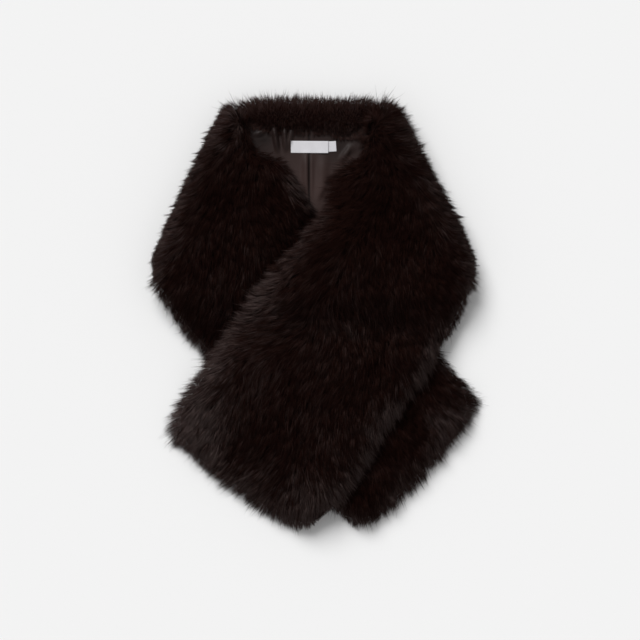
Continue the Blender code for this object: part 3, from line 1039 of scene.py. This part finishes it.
def backHairs(rng):
    def skin(s, t):
        reach = rollPile["over"] * t + rollPile["from"]
        below = backUnderfur(s, np.clip(-reach, 0.0, 1.0))[1]
        over = backUnderfur(s, np.clip(reach, 0.0, 1.0))[0]
        return np.where((reach < 0.0)[:, None], below, over)

    def wish(s, t, points, normal):
        plan = points[:, :2]
        beyond = np.maximum(acrossOf(leftFront, plan), acrossOf(rightFront, plan))
        atEnds = smoothStep((beyond + 0.03) / 0.02)
        onRim = np.where(t < 0.08, rollPile["rimShare"] + (1.0 - rollPile["rimShare"]) * atEnds, 1.0)
        onRim[neckY - points[:, 1] > rollPile["stop"] * rollDepth(plan)] = 0.0
        onRim = onRim * (1.0 + nearSpots(points, closer["back"]))
        return onRim * np.where(beyond < 0.012, 1.0, np.where((beyond < 0.034) & (t < 0.32), 0.8, 0.0))

    s, t, roots, normals = pickRoots(rng, skin, wish, pile["counts"]["back"], -1.0)
    fromEdge = neckY + roll["spread"] - roots[:, 1]
    uneven = rng.normal(0.0, rollPile["partingSpread"], len(s))
    down = smoothStep((fromEdge - rollPile["partingStart"] + uneven) / rollPile["parting"])[:, None]
    aside = np.clip((roots[:, 0] - centreX) / rollPile["asideFrom"], -1.0, 1.0)
    lay = np.array([0.05, 1.0]) * (1.0 - down) + np.array([0.1, -1.0]) * down
    lay = lay + np.column_stack([rollPile["asidePull"] * aside**5, np.zeros(len(s))])
    upright = 0.4 * (1.0 - betweenFronts(roots[:, :2])) - 0.15

    def rest(points):
        return np.where(points[:, 1] < neckY - 0.012, onBack, 0.0)

    # painted sheen: paler hairs along the roll's edge
    tone = rollPile["tone"] + rollPile["edgeSheenTone"] * fadeOut(fromEdge, rollPile["edgeReach"])
    tone = tone + rollPile["lowTone"] * smoothStep((fromEdge - 0.02) / 0.012)
    longer = 1.0 + nearSpots(roots, fuller["back"])
    return growHairs(rng, roots, normals, lay, tone, longer, upright, rest, rims["roll"])


rng = np.random.default_rng(20)
pileBack = splitHairs(["pileNeckRoll"], backHairs(rng))
pileLeft = splitHairs(["pileLeftShoulder", "pileLeftEnd"], frontHairs(rng, leftFront, "left"))
pileRight = splitHairs(
    ["pileRightShoulder", "pileRightChest", "pileRightEnd"], frontHairs(rng, rightFront, "right")
)
print("pile is grown")

# The satin lining of the back, in two halves seamed at the centre back.
lining = {
    "thickness": 0.001,
    "inset": 0.016,
    "underRoll": 0.006,
    "seamPuff": 0.0013,
    "seamPuffWidth": 0.01,
    "seamTuck": 0.85,
    "seamTuckWidth": 0.0035,
    "labelAt": -0.0374,  # from the neck edge, where the label holds the puff down
    "frontInset": 0.004,
    "frontLift": 0.0003,
}
# Soft creases: start x and y, end x and y from the centre back and the neck edge, height, half width.
creases = (
    (-0.064, -0.028, -0.04, -0.049, 0.0062, 0.002),
    (-0.0545, -0.0215, -0.0515, -0.0385, 0.0055, 0.0014),
    (-0.0378, -0.019, -0.0338, -0.0425, 0.006, 0.0018),
    (-0.0265, -0.0195, -0.0255, -0.041, 0.0045, 0.0018),
    (-0.019, -0.0195, -0.023, -0.04, 0.003, 0.0022),
    (-0.0022, -0.052, -0.0018, -0.095, 0.0022, 0.004),
    (0.015, -0.056, 0.012, -0.108, 0.0022, 0.0046),
    (0.045, -0.038, 0.0335, -0.053, 0.0028, 0.0026),
)


def creaseHeight(plan, row):
    fromX, fromY, toX, toY, height, halfWidth = row
    start = np.array([centreX + fromX, neckY + fromY])
    run = np.array([centreX + toX, neckY + toY]) - start
    share = (plan - start) @ run / (run @ run)
    away = np.linalg.norm(plan - start - share[:, None] * run, axis=1)
    ends = smoothStep((share + 0.35) / 0.5) * fadeOut(share - 0.45, 0.75)
    return height * ends * fadeOut(away, 2 * halfWidth)


def liningLevel(plan):
    rise = sum(creaseHeight(plan, row) for row in creases)
    beside = np.minimum(-acrossOf(leftFront, plan), -acrossOf(rightFront, plan))
    underLabel = fadeOut(np.abs(plan[:, 1] - neckY - lining["labelAt"]) - 0.006, 0.012)
    fromSeam = np.abs(plan[:, 0] - centreX)
    seam = lining["seamPuff"] * (1.0 - 0.6 * underLabel) * fadeOut(fromSeam, lining["seamPuffWidth"])
    return (
        band["backPile"] + band["seamGap"]
        + rise * smoothStep(beside / 0.006)
        + seam * smoothStep(beside / 0.02)
    )


# Closer together up to the knee, where the lining shows, and wider apart from there.
def finer(share, knee, slope, restSlope):
    return np.where(share < knee, share * slope, 1.0 - (1.0 - share) * restSlope)


def liningHalf(name, front):
    side = front["side"]
    piece = addGrid(name, 64, 64)
    s, t = gridPlaces(piece)
    t = finer(t, 0.75, 0.7, 1.9)
    share = finer((s + 1.0) / 2.0, 0.8, 0.5625, 2.75)
    across = roll["depth"] - lining["underRoll"] + (band["backWidth"] - lining["inset"] - roll["depth"]) * t
    fold = planPoint(front, front["slant"] * across, across)[:, 0] - side * 2 * band["foldInner"]
    seam = centreX + side * band["seamGap"] / 2
    plan = np.column_stack([seam + (fold - seam) * share, neckY - across])
    level = liningLevel(plan)
    tuck = lining["seamTuck"] * (level - band["backPile"] - band["seamGap"])
    tuck = tuck * fadeOut(np.abs(plan[:, 0] - centreX), lining["seamTuckWidth"])
    setPoints(piece, np.column_stack([plan, level + lining["thickness"] - tuck]))
    addWall(piece, lining["thickness"] * 0.8, -1.0 if side > 0 else 1.0)
    turnOutwards()
    return dress(piece, satin)


# The same satin under each front, from its fold to near its end.
def frontLining(name, front):
    piece = addGrid(name, 64, 20)
    s, t = gridPlaces(piece)
    share = (s + 1.0) / 2.0
    lift = lining["frontLift"]
    setPoints(piece, frontSkin(front, share, 0.06 + 0.88 * t, lining["frontInset"], liningLift=lift)[0])
    addWall(piece, lining["thickness"] * 0.7, 1.0 if front is rightFront else -1.0)
    turnOutwards()
    return dress(piece, satin)


liningFrontLeft = frontLining("liningFrontLeft", leftFront)
liningFrontRight = frontLining("liningFrontRight", rightFront)
liningLeft = liningHalf("liningLeft", leftFront)
liningRight = liningHalf("liningRight", rightFront)
print("lining is in")

# The woven label and the size tab under its right end, both bare.
label = {
    "centre": (0.0006, -0.0374),
    "size": (0.0404, 0.013),
    "tilt": -0.6,
    "thickness": 0.0008,
    "edge": 0.0002,
    "overTab": 0.0011,  # how far its right end stands up over the tab
    "tabCentre": (0.0231, -0.0369),
    "tabSize": (0.0124, 0.0112),
    "tabTilt": 4.0,
}


def ribbonPatch(name, centre, size, tilt, lift):
    piece = addGrid(name, 40, 12)
    s, t = gridPlaces(piece)
    angle = math.radians(tilt)
    along, up = size[0] * s / 2, size[1] * (t - 0.5)
    x = centreX + centre[0] + along * math.cos(angle) - up * math.sin(angle)
    y = neckY + centre[1] + along * math.sin(angle) + up * math.cos(angle)
    plan = np.column_stack([x, y])
    lifted = lift * smoothStep(((s + 1.0) / 2.0 - 0.55) / 0.3)
    rest = liningLevel(plan) + lining["thickness"] + band["seamGap"] + lifted
    setPoints(piece, np.column_stack([plan, rest + label["thickness"]]))
    addWall(piece, label["thickness"], -1.0)
    edge = piece.modifiers.new("edge", "BEVEL")
    edge.width = label["edge"]
    edge.segments = 2
    edge.limit_method = "ANGLE"
    edge.angle_limit = math.radians(60)
    bpy.ops.object.modifier_apply(modifier="edge")
    return dress(piece, ribbon)


liftOverTab = label["overTab"] + band["seamGap"]
neckLabel = ribbonPatch("neckLabel", label["centre"], label["size"], label["tilt"], liftOverTab)
sizeTab = ribbonPatch("sizeTab", label["tabCentre"], label["tabSize"], label["tabTilt"], 0.0)
print("label is sewn on")

# The pale floor, the light and the camera straight above.
studio = {
    "floorSize": 14.0,
    "floorColour": (0.88, 0.88, 0.88, 1.0),
    "worldStrength": 0.38,
    "sunFrom": (-0.42, 0.88, 0.92),
    "sunStrength": 2.93,
    "sunAngle": 34.0,  # for soft shadows
    "cameraHeight": 3.0,
    "cameraFromNeck": (0.0118, -0.22414),
    "sensor": 36.0,
    "viewWidth": 0.6912,
    "viewLevel": 0.015,  # the height at which it is that wide
}
deselect()
bpy.ops.mesh.primitive_plane_add(size=studio["floorSize"])
floor = bpy.context.object
floor.name = "floor"
floor.data.materials.append(floorMaterial(studio["floorColour"]))

world = bpy.data.worlds.new("softWorld")
world.use_nodes = True
background = world.node_tree.nodes["Background"]
background.inputs["Color"].default_value = (1.0, 1.0, 1.0, 1.0)
background.inputs["Strength"].default_value = studio["worldStrength"]
bpy.context.scene.world = world

key = bpy.data.lights.new("keyLight", "SUN")
key.energy = studio["sunStrength"]
key.angle = math.radians(studio["sunAngle"])
keyLight = bpy.data.objects.new("keyLight", key)
keyLight.rotation_euler = (-Vector(studio["sunFrom"])).to_track_quat("-Z", "Y").to_euler()
bpy.context.scene.collection.objects.link(keyLight)

view = bpy.data.cameras.new("camera")
view.sensor_width = studio["sensor"]
view.lens = studio["sensor"] * (studio["cameraHeight"] - studio["viewLevel"]) / studio["viewWidth"]
view.clip_end = 30.0
camera = bpy.data.objects.new("camera", view)
fromCentre, fromNeck = studio["cameraFromNeck"]
camera.location = (centreX + fromCentre, neckY + fromNeck, studio["cameraHeight"])
bpy.context.scene.collection.objects.link(camera)
bpy.context.scene.camera = camera
bpy.context.scene.view_settings.view_transform = "Standard"
bpy.context.scene.view_settings.look = "None"
print("studio is lit")

for piece, slot in (
    (furBack, "fur"), (furFrontLeft, "fur"), (furFrontRight, "fur"), (liningLeft, "lining"),
    (liningRight, "lining"), (liningFrontLeft, "lining"), (liningFrontRight, "lining"),
    (neckLabel, "label"), (sizeTab, "label"),
    *((piece, "fur") for piece in pileBack + pileLeft + pileRight),
):
    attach(piece, "root")

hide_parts("fur_back")
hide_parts("fur_front_left")
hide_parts("fur_front_right")
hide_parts("lining_left")
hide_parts("lining_right")
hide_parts("neck_label")
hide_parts("size_tab")
